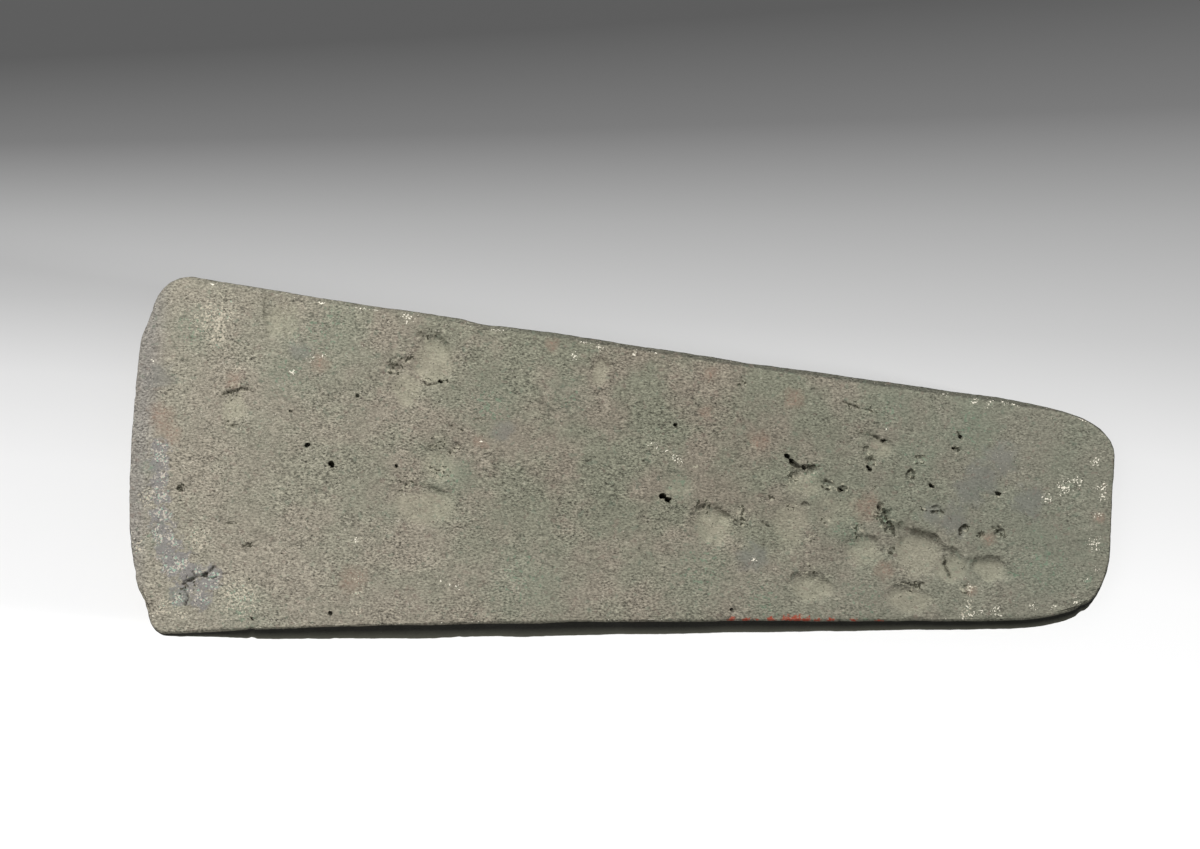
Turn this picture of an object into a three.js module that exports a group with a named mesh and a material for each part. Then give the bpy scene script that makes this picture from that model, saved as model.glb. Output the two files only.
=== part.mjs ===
// A Bronze Age flat axe head: one piece of cast and hammered bronze, worn, corroded and pitted.
// It lies on one broad face. X runs from the cutting edge to the butt, Y across it, Z up.
// All sizes are in millimetres.
import * as THREE from "three";

// Plan. The corners are where two sides would meet if the corner between them weren't worn round.
const axeLength = 160.2;
const bladeWidth = 61.2;
const buttWidth = 35.2;
const bladeShift = -0.4;
const buttShift = 0.7;
const upperCornerSweep = 1.4;
const lowerCornerSweep = 4.1;
const edgeBow = 2.5;
const upperSideHollow = 1.65;
const lowerSideHollow = 0.2;
const hollowShare = 0.38;

// How far each worn corner reaches along the two sides that meet in it.
const bladeUpperWear = { alongEnd: 13, alongSide: 10 };
const bladeLowerWear = { alongEnd: 17, alongSide: 6 };
const buttUpperWear = { alongEnd: 8, alongSide: 19 };
const buttLowerWear = { alongEnd: 9, alongSide: 14 };

// Thickness, at the cutting edge, where its bevel ends, at the thickest place and at the butt.
const edgeThickness = 1;
const bevelThickness = 6.6;
const bellyThickness = 10;
const buttThickness = 4.8;
const bevelLength = 21;
const bellyDistance = 60;
const crownDrop = 0.5;
const rimRadius = 1.5;
const rimShareOfThickness = 0.42;

// The underside is flat from the thickest place to near the butt, and rises to the cutting edge.
const flatLength = 88;
const flatWidthShare = 0.75;
const edgeRise = 0.9;
const seatLength = 64;
const seatWidth = 20;

// Hollows eaten into the upper face. turn is in degrees, from X towards Y.
const hollows = [
  { x: -63.7, y: 7.1, long: 3, wide: 3.4, turn: 0, depth: 0.5 },
  { x: -32.3, y: 17, long: 5.4, wide: 4.6, turn: -20, depth: 0.9 },
  { x: -36.1, y: 12.5, long: 4.2, wide: 4.6, turn: 0, depth: 0.6 },
  { x: -4.8, y: 17, long: 2.8, wide: 3.2, turn: 0, depth: 0.6 },
  { x: -31.5, y: -6.6, long: 8, wide: 5.2, turn: 0, depth: 0.6 },
  { x: 15.6, y: -6.5, long: 4.6, wide: 4.2, turn: 0, depth: 0.8 },
  { x: 39.8, y: -8.1, long: 4.4, wide: 3.2, turn: -15, depth: 0.6 },
  { x: 32.1, y: -15, long: 5, wide: 3.4, turn: -10, depth: 0.5 },
  { x: 47.7, y: -14.8, long: 5.6, wide: 3.6, turn: 0, depth: 0.5 },
  { x: 50.9, y: -9, long: 6.8, wide: 4.2, turn: -25, depth: 0.9 },
  { x: 60.9, y: -9.9, long: 4.2, wide: 3.2, turn: -10, depth: 0.7 },
];

// Small bites out of the rim, each round one place on the plan.
const nicks = [
  { x: -78.7, y: 21.8, reach: 4, depth: 0.3 },
  { x: -75.4, y: -25, reach: 4, depth: 0.6 },
  { x: -24.2, y: 24, reach: 4, depth: 0.35 },
  { x: 79.4, y: -10.4, reach: 4.5, depth: 0.4 },
];

// How finely the surface is divided.
const stepsAlong = 64;
const stepsAcross = 22;
const rimSteps = 3;
const undersideSteps = 4;

const bronze = new THREE.MeshStandardMaterial({ color: 0x87836f, roughness: 0.85, metalness: 0.25 });

const edgeX = -axeLength / 2;
const buttX = axeLength / 2;
const { lerp, clamp, degToRad } = THREE.MathUtils;

// The curve from one corner to the next, hollowed most at a share of the way along it.
function sideCurve(from, to, hollow, share) {
  const inward = new THREE.Vector2(from.y - to.y, to.x - from.x).normalize();
  const control = from.clone().lerp(to, share).addScaledVector(inward, 2 * hollow);
  return new THREE.QuadraticBezierCurve(from, control, to);
}

// The stretch of a side that the worn corners at its two ends leave.
function unwornStretch(side, startWear, endWear) {
  const sideLength = side.v0.distanceTo(side.v2);
  const start = startWear / sideLength;
  const end = 1 - endWear / sideLength;
  const control = side.v0.clone().multiplyScalar((1 - start) * (1 - end));
  control.addScaledVector(side.v1, start * (1 - end) + end * (1 - start));
  control.addScaledVector(side.v2, start * end);
  return new THREE.QuadraticBezierCurve(side.getPoint(start), control, side.getPoint(end));
}

// The first half of a worn corner, from where it leaves one side to its middle.
function halfCorner(from, corner, to) {
  const middle = from.clone().add(to).addScaledVector(corner, 2).divideScalar(4);
  return new THREE.QuadraticBezierCurve(from, from.clone().lerp(corner, 0.5), middle);
}

// The second half of the same corner, from its middle to where it meets the next side.
function otherHalf(from, corner, to) {
  const back = halfCorner(to, corner, from);
  return new THREE.QuadraticBezierCurve(back.v2, back.v1, back.v0);
}

// The four boundaries of the plan, anticlockwise from the blade's lower corner, each from the
// middle of one worn corner to the middle of the next.
function planBoundaries() {
  const bladeLower = new THREE.Vector2(edgeX + lowerCornerSweep, bladeShift - bladeWidth / 2);
  const buttLower = new THREE.Vector2(buttX, buttShift - buttWidth / 2);
  const buttUpper = new THREE.Vector2(buttX, buttShift + buttWidth / 2);
  const bladeUpper = new THREE.Vector2(edgeX + upperCornerSweep, bladeShift + bladeWidth / 2);
  const corners = [bladeLower, buttLower, buttUpper, bladeUpper];
  const wear = [
    [bladeLowerWear.alongSide, buttLowerWear.alongSide],
    [buttLowerWear.alongEnd, buttUpperWear.alongEnd],
    [buttUpperWear.alongSide, bladeUpperWear.alongSide],
    [bladeUpperWear.alongEnd, bladeLowerWear.alongEnd],
  ];
  const hollowBy = [lowerSideHollow, 0, upperSideHollow, -edgeBow];
  const hollowAt = [hollowShare, 0.5, 1 - hollowShare, 0.5];
  const stretches = corners.map((corner, i) => {
    const side = sideCurve(corner, corners[(i + 1) % 4], hollowBy[i], hollowAt[i]);
    return unwornStretch(side, wear[i][0], wear[i][1]);
  });
  return stretches.map((stretch, i) => {
    const before = stretches[(i + 3) % 4];
    const after = stretches[(i + 1) % 4];
    const boundary = new THREE.CurvePath();
    boundary.add(otherHalf(before.v2, corners[i], stretch.v0));
    boundary.add(stretch);
    boundary.add(halfCorner(stretch.v2, corners[(i + 1) % 4], after.v0));
    return boundary;
  });
}

// The plan as one closed row of points. Each knows its share of the way along the axe, from
// the cutting edge, and its place across it, from -1 to 1.
function planOutline() {
  const outline = [];
  planBoundaries().forEach((boundary, side) => {
    const steps = side % 2 ? stepsAcross : stepsAlong;
    boundary.getSpacedPoints(steps).slice(0, steps).forEach((place, i) => {
      const share = i / steps;
      const along = [share, 1, 1 - share, 0][side];
      const across = [-1, 2 * share - 1, 1, 1 - 2 * share][side];
      outline.push({ place, along, across });
    });
  });
  outline.forEach((point, i) => {
    const before = outline.at(i - 1).place;
    const after = outline[(i + 1) % outline.length].place;
    point.inward = new THREE.Vector2(before.y - after.y, after.x - before.x).normalize();
  });
  outline.forEach((point) => {
    point.place = point.place.clone().addScaledVector(point.inward, nickDepth(point.place));
  });
  return outline;
}

// A smooth mound of height 1 that ends at a distance of 1.
function mound(distance) {
  return Math.max(0, 1 - distance ** 2) ** 2;
}

function nickDepth(place) {
  return nicks.reduce((sum, nick) => {
    const away = Math.hypot(place.x - nick.x, place.y - nick.y) / nick.reach;
    return sum + nick.depth * mound(away);
  }, 0);
}

function hollowDepth(x, y) {
  return hollows.reduce((sum, hollow) => {
    const turn = degToRad(hollow.turn);
    const dx = x - hollow.x;
    const dy = y - hollow.y;
    const alongHollow = (dx * Math.cos(turn) + dy * Math.sin(turn)) / hollow.long;
    const acrossHollow = (dy * Math.cos(turn) - dx * Math.sin(turn)) / hollow.wide;
    return sum + hollow.depth * mound(Math.hypot(alongHollow, acrossHollow));
  }, 0);
}

// Thickness at a share of the way from the cutting edge to the butt.
function thicknessAt(along) {
  const distance = along * axeLength;
  if (distance < bevelLength) {
    return lerp(edgeThickness, bevelThickness, distance / bevelLength);
  }
  if (distance < bellyDistance) {
    const share = (distance - bevelLength) / (bellyDistance - bevelLength);
    return lerp(bevelThickness, bellyThickness, Math.sin((share * Math.PI) / 2));
  }
  const share = (distance - bellyDistance) / (axeLength - bellyDistance);
  return lerp(bellyThickness, buttThickness, THREE.MathUtils.smoothstep(share, 0, 1));
}

// Height of the middle of the thickness. Over the flat it is half the thickness.
function middleHeight(along) {
  const flatStart = bellyDistance / axeLength;
  const rise = edgeRise * clamp(1 - along / flatStart, 0, 1) ** 2;
  return thicknessAt(Math.max(along, flatStart)) / 2 + rise;
}

// How much lower the face lies at the rim than in the middle of the axe.
function crownAt(along) {
  return (crownDrop * thicknessAt(along)) / bellyThickness;
}

function upperHeight(along, across) {
  return middleHeight(along) + thicknessAt(along) / 2 - crownAt(along) * across ** 2;
}

function lowerHeight(along, outward) {
  return middleHeight(along) - thicknessAt(along) / 2 + crownAt(along) * outward ** 2;
}

function rimRadiusAt(along) {
  return Math.min(rimRadius, rimShareOfThickness * thicknessAt(along));
}

// One ring of the rounded rim. lean is 0 where the rim meets a face and a right angle at the side.
function rimRing(outline, lean, upper) {
  return outline.map(({ place, along, across, inward }) => {
    const radius = rimRadiusAt(along);
    const plan = place.clone().addScaledVector(inward, radius * (1 - Math.sin(lean)));
    const drop = radius * (1 - Math.cos(lean));
    const height = upper ? upperHeight(along, across) - drop : lowerHeight(along, 1) + drop;
    return new THREE.Vector3(plan.x, plan.y, height);
  });
}

// The flat of the underside is a smaller copy of the plan.
function flatCentreX() {
  return edgeX + bellyDistance + flatLength / 2;
}

function flatPlace(place) {
  const x = flatCentreX() + (place.x * flatLength) / axeLength;
  return new THREE.Vector2(x, place.y * flatWidthShare);
}

// One ring of the underside, at a share of the way in from the rim to the flat.
function undersideRing(outline, rim, inShare) {
  return outline.map(({ along }, i) => {
    const start = new THREE.Vector2(rim[i].x, rim[i].y);
    const flat = flatPlace(start);
    const plan = start.clone().lerp(flat, inShare);
    const flatAlong = (flat.x - edgeX) / axeLength;
    const height = lowerHeight(lerp(along, flatAlong, inShare), 1 - inShare);
    return new THREE.Vector3(plan.x, plan.y, inShare === 1 ? 0 : height);
  });
}

// Collects shared vertices and the triangles between them.
class Surface {
  vertices = [];
  triangles = [];

  add(vertex) {
    return this.vertices.push(vertex) - 1;
  }

  addRing(ring) {
    return ring.map((vertex) => this.add(vertex));
  }

  // The band between two rings, the first one above or outside the second.
  band(outer, inner) {
    outer.forEach((a, i) => {
      const next = (i + 1) % outer.length;
      this.triangles.push(a, inner[i], inner[next], a, inner[next], outer[next]);
    });
  }

  // Fills a ring with a grid of quads, each point blended from the four boundaries.
  fillWithGrid(ring, heightAt) {
    const boundary = (i) => this.vertices[ring[(i + ring.length) % ring.length]];
    const lower = (i) => boundary(i);
    const butt = (j) => boundary(stepsAlong + j);
    const upper = (i) => boundary(2 * stepsAlong + stepsAcross - i);
    const edge = (j) => boundary(ring.length - j);
    const corners = [lower(0), lower(stepsAlong), upper(0), upper(stepsAlong)];
    const indexAt = (i, j) => {
      if (j === 0) return ring[i];
      if (i === stepsAlong) return ring[stepsAlong + j];
      if (j === stepsAcross) return ring[2 * stepsAlong + stepsAcross - i];
      if (i === 0) return ring[ring.length - j];
      const u = i / stepsAlong;
      const v = j / stepsAcross;
      const blended = (axis) => {
        const alongBlend = lerp(edge(j)[axis], butt(j)[axis], u);
        const acrossBlend = lerp(lower(i)[axis], upper(i)[axis], v);
        const [a, b, c, d] = corners.map((corner) => corner[axis]);
        return alongBlend + acrossBlend - lerp(lerp(a, b, u), lerp(c, d, u), v);
      };
      const x = blended("x");
      const y = blended("y");
      return this.add(new THREE.Vector3(x, y, heightAt(u, 2 * v - 1, x, y)));
    };
    const grid = [];
    for (let i = 0; i <= stepsAlong; i++) {
      grid.push([]);
      for (let j = 0; j <= stepsAcross; j++) grid[i].push(indexAt(i, j));
    }
    for (let i = 0; i < stepsAlong; i++) {
      for (let j = 0; j < stepsAcross; j++) {
        const [a, b, c, d] = [grid[i][j], grid[i + 1][j], grid[i + 1][j + 1], grid[i][j + 1]];
        this.triangles.push(a, b, c, a, c, d);
      }
    }
  }

  // Closes the underside with a flat cap that has one plain rectangle in its middle.
  closeWithFlat(ring) {
    const plan = ring.map((index) => this.vertices[index]);
    const outline = plan.map((vertex) => new THREE.Vector2(vertex.x, vertex.y));
    const seat = [[-1, -1], [-1, 1], [1, 1], [1, -1]].map(([alongSign, acrossSign]) => {
      const x = flatCentreX() + (alongSign * seatLength) / 2;
      return new THREE.Vector2(x, (acrossSign * seatWidth) / 2);
    });
    const seatRing = this.addRing(seat.map((corner) => new THREE.Vector3(corner.x, corner.y, 0)));
    const all = [...ring, ...seatRing];
    for (const [a, b, c] of THREE.ShapeUtils.triangulateShape(outline, [seat])) {
      this.triangles.push(all[a], all[c], all[b]);
    }
    const [a, b, c, d] = seatRing;
    this.triangles.push(a, b, c, a, c, d);
  }

  // The finished surface, with its origin under the middle of its footprint.
  toGeometry() {
    const geometry = new THREE.BufferGeometry().setFromPoints(this.vertices);
    geometry.setIndex(this.triangles);
    geometry.computeBoundingBox();
    const middle = geometry.boundingBox.getCenter(new THREE.Vector3());
    geometry.translate(-middle.x, -middle.y, 0);
    geometry.computeVertexNormals();
    return geometry;
  }
}

function axeGeometry() {
  const surface = new Surface();
  const outline = planOutline();
  const leans = Array.from({ length: rimSteps + 1 }, (_, i) => (i * Math.PI) / 2 / rimSteps);
  const upperRings = leans.map((lean) => rimRing(outline, lean, true));
  const lowerRings = leans.map((lean) => rimRing(outline, lean, false)).reverse();
  const rim = lowerRings.at(-1);
  const underside = Array.from({ length: undersideSteps }, (_, i) =>
    undersideRing(outline, rim, (i + 1) / undersideSteps),
  );
  const rings = [...upperRings, ...lowerRings, ...underside].map((ring) => surface.addRing(ring));
  rings.slice(1).forEach((ring, i) => surface.band(rings[i], ring));
  surface.fillWithGrid(rings[0], (along, across, x, y) => {
    return upperHeight(along, across) - hollowDepth(x, y);
  });
  surface.closeWithFlat(rings.at(-1));
  return surface.toGeometry();
}

const axe = new THREE.Group();
const axeHead = new THREE.Mesh(axeGeometry(), bronze);
axeHead.name = "axe_head";
axe.add(axeHead);

export default axe;
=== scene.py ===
import math
import random

import bmesh
import bpy
import numpy as np
from mathutils import Matrix, Vector, noise


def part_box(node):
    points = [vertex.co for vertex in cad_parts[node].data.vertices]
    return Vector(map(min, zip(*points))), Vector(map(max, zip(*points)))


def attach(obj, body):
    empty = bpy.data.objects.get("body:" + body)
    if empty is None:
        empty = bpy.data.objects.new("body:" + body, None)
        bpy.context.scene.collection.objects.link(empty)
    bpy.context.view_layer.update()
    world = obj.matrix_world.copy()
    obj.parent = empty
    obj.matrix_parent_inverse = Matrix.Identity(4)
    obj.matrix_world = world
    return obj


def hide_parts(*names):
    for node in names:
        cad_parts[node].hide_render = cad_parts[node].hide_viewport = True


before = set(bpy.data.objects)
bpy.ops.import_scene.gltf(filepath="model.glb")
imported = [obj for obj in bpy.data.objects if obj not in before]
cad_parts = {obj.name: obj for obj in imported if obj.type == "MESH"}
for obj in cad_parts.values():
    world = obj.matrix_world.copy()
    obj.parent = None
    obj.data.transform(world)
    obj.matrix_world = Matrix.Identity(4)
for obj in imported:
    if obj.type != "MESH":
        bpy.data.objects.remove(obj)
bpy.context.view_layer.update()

# A Bronze Age flat axe head that lies on one broad face: cast and hammered bronze under a
# sandy grey-green crust. X runs from the cutting edge to the butt, Y across, Z up.
# Sizes and places on the axe are in millimetres, and MM turns them into metres.
MM = 0.001

# Plan of the axe.
axe_length = 160.2
blade_width = 61.2
butt_width = 35.2
blade_shift = -0.4
butt_shift = 0.7
upper_corner_sweep = 1.4
lower_corner_sweep = 4.1
edge_bow = 2.5
upper_side_hollow = 1.65
lower_side_hollow = 0.2
hollow_share = 0.38

# How far each worn corner reaches, first along the side it follows, then along the next.
blade_lower_wear = (17, 6)
butt_lower_wear = (14, 9)
butt_upper_wear = (8, 19)
blade_upper_wear = (10, 13)

# Thickness.
edge_thickness = 1
bevel_thickness = 6.6
belly_thickness = 10
butt_thickness = 4.8
bevel_length = 21
belly_distance = 60
crown_drop = 0.5
upper_rim_radius = 1.5
lower_rim_radius = 0.6
butt_rim_radius = 0.5
butt_start = 0.93
lower_side_lean = 0.65
rim_share_of_thickness = 0.42

# Underside.
flat_length = 88
flat_width_share = 0.75
edge_rise = 0.9

# Bites out of the rim: x, y, reach, depth.
nicks = [
    (-78.7, 21.8, 4, 0.3),
    (-75.4, -25.8, 4, 0.6),
    (-24.2, 24, 4, 0.35),
    (79.4, -10.4, 4.5, 0.4),
    (-77.4, -20.6, 1.2, 0.15),
    (-57.7, -29.4, 0.8, 0.25),
    (75.9, -15.2, 0.9, 0.25),
    (77.2, -13.4, 0.7, 0.15),
]

# Soft hollows eaten into the upper face: x, y, half length, half width, depth.
hollows = [
    (-63.5, 7.2, 2.8, 3.4, 0.3),
    (-31.7, 17, 4.6, 4.6, 0.5),
    (-35.8, 12.2, 3, 4.2, 0.35),
    (-4.6, 16.9, 2.2, 2.8, 0.3),
    (-31.4, -7, 7.4, 3.9, 0.3),
    (-29.4, -0.6, 4.6, 3.3, 0.2),
    (15.4, -6.9, 4.2, 3.9, 0.45),
    (9.3, -0.4, 3.6, 2.6, 0.2),
    (27.8, -5.4, 4, 5.4, 0.25),
    (29.8, 1.4, 4, 3, 0.3),
    (39.8, -8.8, 4.2, 2.9, 0.35),
    (32.1, -15.8, 4.6, 2.7, 0.35),
    (47.8, -16.2, 5.2, 2.8, 0.35),
    (48.6, -8.6, 5.4, 4.6, 0.4),
    (54.4, -10.4, 3.2, 3, 0.45),
    (60.8, -10.2, 3.6, 2.7, 0.45),
    (-56.6, 22.4, 4.2, 4.4, 0.25),
    (41.6, 8.4, 2.8, 2.4, 0.2),
    (35.5, -2.2, 6.5, 4.2, 0.12),
]

# Ledges round the hollows: drop, reach of the floor below the ledge, then the places that the
# ledge runs through. The floor lies to the right of the way that it runs.
ledges = [
    (0.25, 3.4, [(-66.4, 8.2), (-65.4, 9.5), (-63.4, 10.3), (-61.4, 10.6), (-60.5, 9.8)]),
    (0.4, 6.5, [(-35.6, 20.8), (-34.2, 21.8), (-31.6, 22), (-29.8, 20.6), (-28.4, 17.8)]),
    (0.2, 4, [(-39.2, 14.6), (-38.4, 16.2), (-36.8, 17.2), (-35.4, 17.6)]),
    (0.2, 3.6, [(-6.8, 17.2), (-6.1, 18.7), (-4.6, 19.5), (-3.3, 18.9), (-2.7, 17.4)]),
    (0.22, 4.6, [(-37.6, -4.6), (-36.2, -3.6), (-33.8, -3.1), (-31, -3.4), (-28.8, -4.3),
                 (-26.2, -5.4)]),
    (0.25, 3.4, [(-32.6, 1.8), (-31.2, 2.8), (-29, 3.1), (-27, 2.4)]),
    (0.35, 5.5, [(11.4, -5.4), (12.4, -3.9), (14.4, -3), (16.4, -3.7), (18, -4.9), (18.9, -6.6)]),
    (0.3, 4, [(35.8, -7.8), (37.4, -6.5), (39.6, -5.8), (41.8, -6.3), (43.4, -7.8)]),
    (0.25, 4, [(27.8, -15.2), (29, -13.4), (31.2, -12.7), (33.6, -13.3), (36.2, -15.2)]),
    (0.12, 3, [(43.6, -14.4), (46.2, -13.5), (49.4, -13.7)]),
    (0.55, 6, [(43.6, -5.2), (44.7, -3.9), (46.1, -3.5), (47.5, -4.4), (49.6, -4.7), (51.6, -5),
                 (52.8, -6.2), (54.6, -7), (57, -8.2)]),
    (0.24, 4.4, [(57.4, -9.8), (58.4, -8.3), (60.4, -7.4), (62.4, -7.8), (64, -9.6)]),
    (0.45, 3.4, [(-59.4, 18.6), (-59.7, 21.4), (-60.1, 24), (-60.8, 26.8)]),
    (0.2, 2.6, [(38, 10.6), (39.8, 10.8), (41.6, 10.2), (43.2, 9.4)]),
    (0.3, 2.6, [(26.6, 3.2), (27.4, 4.4), (29.6, 4.4), (31.4, 3.6)]),
]

# Small steep dents in the crumbly crust, most in the butt half: x, y, half length, half width,
# depth.
dents = [
    (55.9, -4.2, 0.9, 0.9, 0.35),
    (61.9, -3.9, 1, 0.7, 0.35),
    (58.8, -4.9, 0.6, 0.5, 0.25),
    (40.3, 6.2, 0.9, 1, 0.35),
    (39.6, 8, 0.8, 0.6, 0.25),
    (33.4, 1.8, 1.3, 0.8, 0.35),
    (35.9, 1.2, 0.9, 0.5, 0.25),
    (47, 4.4, 0.8, 1, 0.3),
    (48.2, 7.3, 0.8, 0.7, 0.25),
    (30.8, 4, 1.2, 0.7, 0.3),
    (27.9, 2.6, 0.9, 0.9, 0.25),
    (30.2, -2, 1, 0.5, 0.25),
    (43.2, -2.6, 0.9, 1, 0.4),
    (44, -4.6, 0.8, 0.9, 0.4),
    (42.2, -1.1, 0.7, 0.7, 0.3),
    (51.2, -0.6, 0.9, 0.5, 0.25),
    (49.2, -13.6, 1.4, 0.7, 0.2),
    (-63, 4, 1.2, 0.6, 0.2),
    (-38, 15.4, 1.3, 0.7, 0.25),
    (-27, 3, 1.2, 0.7, 0.2),
]

# Holes that corrosion has eaten through the crust: x, y, half length, half width, turn, depth.
pits = [
    (6.9, -2.6, 0.49, 0.34, 10, 1.3),
    (7.7, -3.1, 0.37, 0.33, -40, 1.1),
    (26.6, 5.9, 0.41, 0.18, -52, 0.8),
    (27.3, 5.1, 0.33, 0.16, -40, 0.8),
    (-47, -1.1, 0.34, 0.25, -10, 0.9),
    (-46.8, -1.4, 0.18, 0.25, 0, 0.9),
    (-51.2, 1.8, 0.33, 0.16, 25, 0.7),
    (-54.3, 7.2, 0.18, 0.13, -20, 0.5),
    (-43.7, 10.4, 0.23, 0.13, -20, 0.5),
    (-36.4, -0.9, 0.2, 0.18, 0, 0.5),
    (8.1, 9.4, 0.23, 0.18, -20, 0.7),
    (-30.4, 13.7, 0.33, 0.16, -10, 0.7),
    (-29.3, 13.9, 0.16, 0.13, 0, 0.5),
    (42.2, 9.9, 0.45, 0.11, 0, 0.5),
    (39.8, 5.2, 0.28, 0.13, -40, 0.6),
    (40.2, 4.9, 0.16, 0.18, 0, 0.5),
    (35.6, 1.1, 0.41, 0.13, -15, 0.6),
    (53.6, 9.5, 0.2, 0.16, 0, 0.6),
    (54.2, 9.5, 0.15, 0.13, 0, 0.6),
    (50.4, 3, 0.41, 0.11, -25, 0.5),
    (61.2, 2.6, 0.34, 0.12, -15, 0.5),
    (54.6, 11.6, 0.21, 0.11, -30, 0.4),
    (-71.1, -6.5, 0.25, 0.1, -30, 0.4),
    (-58.6, -20.9, 0.18, 0.11, 0, 0.4),
    (-45.2, -25.6, 0.21, 0.15, 0, 0.4),
    (-57.8, -27.2, 0.25, 0.13, -45, 0.4),
    (19.2, -20.2, 0.23, 0.13, 0, 0.4),
    (33.4, 1.1, 0.25, 0.13, 20, 0.5),
]

# Cracks: width, depth, then the places that the crack runs through.
cracks = [
    (0.2, 0.5, [(-69.3, -22.2), (-68.3, -21.7), (-67.2, -20.9), (-66, -20.7), (-65.1, -19.9),
                (-64.5, -19.3)]),
    (0.13, 0.3, [(-67.9, -20.1), (-67.5, -20.8), (-66.9, -21.3)]),
    (0.14, 0.3, [(-66, -20.7), (-65.2, -21.1), (-64.1, -20.9)]),
    (0.14, 0.3, [(-69, -22), (-68.8, -23.4), (-68.2, -24.4), (-68.6, -25.6)]),
    (0.1, 0.2, [(-71.6, -6.7), (-70.6, -6.2), (-70, -6.4)]),
    (0.14, 0.3, [(-63.3, -11.9), (-61.4, -11.8)]),
    (0.18, 0.3, [(-60.2, -15.6), (-59.4, -15.2), (-58.3, -15.5)]),
    (0.11, 0.2, [(-65.4, 9.3), (-63.6, 10.2), (-61.8, 10.4), (-60.6, 10)]),
    (0.14, 0.25, [(-65, 4.5), (-63.4, 4.3)]),
    (0.16, 0.3, [(-33.3, 13.6), (-32.2, 13), (-31.2, 13.4), (-30, 13.9)]),
    (0.14, 0.2, [(-28.4, 6.5), (-27.2, 6.2), (-26.2, 5.7)]),
    (0.12, 0.2, [(-24.4, 7.8), (-23.1, 7.9)]),
    (0.34, 0.8, [(27.3, 4.9), (28.3, 4.3), (29.6, 4.2)]),
    (0.16, 0.3, [(29.6, 4.1), (30.6, 4.6), (31.8, 4.5)]),
    (0.1, 0.2, [(35.2, 15.8), (36.6, 15.3), (37.9, 14.9)]),
    (0.08, 0.15, [(38.5, 14.8), (40.8, 14.4)]),
    (0.16, 0.3, [(38.4, 11), (40.1, 10.7), (41.2, 10.1)]),
    (0.2, 0.4, [(46.2, 4.6), (47, 5.4), (47.4, 4)]),
    (0.2, 0.5, [(42, -1.2), (42.9, -1.9), (43.4, -3), (44.2, -4.2), (44.9, -5.8)]),
    (0.12, 0.3, [(41.4, -2.8), (42.4, -3.1), (43.2, -4.4), (43.6, -5.2)]),
    (0.16, 0.4, [(53.2, -8.4), (53.5, -10.3), (54.5, -11.9)]),
    (0.16, 0.3, [(55.5, -4.6), (55.7, -3.4), (56.4, -3.1), (56.8, -3.8)]),
    (0.16, 0.3, [(60.6, -3.2), (61.8, -2.9), (62.6, -3.6), (62.8, -4.4)]),
    (0.14, 0.3, [(58, -4.2), (59.2, -4.4)]),
    (0.14, 0.3, [(50.6, -1.4), (51.8, -1.2), (52.6, -1.5)]),
    (0.14, 0.25, [(23.4, -5.6), (24.6, -6)]),
    (0.1, 0.2, [(46.4, -13.4), (48.2, -13.7), (49.8, -14.2)]),
]

# Crumbled spots of the crust, each as x, y, reach.
crumbled_spots = [
    (33.3, 1.5, 1.8), (35.9, 1.2, 1.4), (30.4, 4.2, 1.6), (27.8, 2.4, 1.6), (40.1, 6.6, 1.5),
    (40.2, 4.9, 1.1), (47, 4.8, 1.1), (48.1, 7.2, 1.4), (40.8, 1.8, 0.9), (43.3, -3.6, 2),
    (42, -2.2, 1.3), (54, 9.6, 1.2), (54.6, 11.8, 1.1), (56.2, -3.7, 1.1), (58.7, -4.3, 0.9),
    (61.8, -3.5, 1.4), (49.3, -0.8, 1.1), (51.8, -1.4, 1.1), (24.4, -1.2, 1), (27.8, -2.5, 1.1),
    (61.2, 2.6, 0.9), (50.4, 3, 0.7), (-68.4, -22.4, 2), (-65.6, -20.4, 1.4), (-37.9, 15.6, 1.9),
    (-36, 17.2, 1.5), (-33, 21.2, 1.8), (-32.6, 13.5, 1.1), (-30, 3.6, 1.8), (-29.4, -1.2, 2.2),
    (-34.8, -3.4, 2.6), (-27.4, 2.3, 1.6), (-63.6, 10.2, 1.8), (-64, 4.4, 1.1), (-59.4, -15.3, 1.1),
    (36.8, 15.4, 1.2), (40, 14.8, 1), (47.5, -14, 1.4), (13.4, -3.6, 1.8), (20, -4.6, 2.4),
    (11.8, 2.6, 0.9), (38.5, -5.9, 2), (31, -12.9, 1.8), (56.6, -13.6, 1.2), (-71, -6.4, 1),
    (33.5, -4.2, 1), (31.5, -7.4, 1.2), (44.2, -8, 1.2), (48.5, -13.6, 1.4), (18.6, 17.6, 1.2),
]

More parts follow.
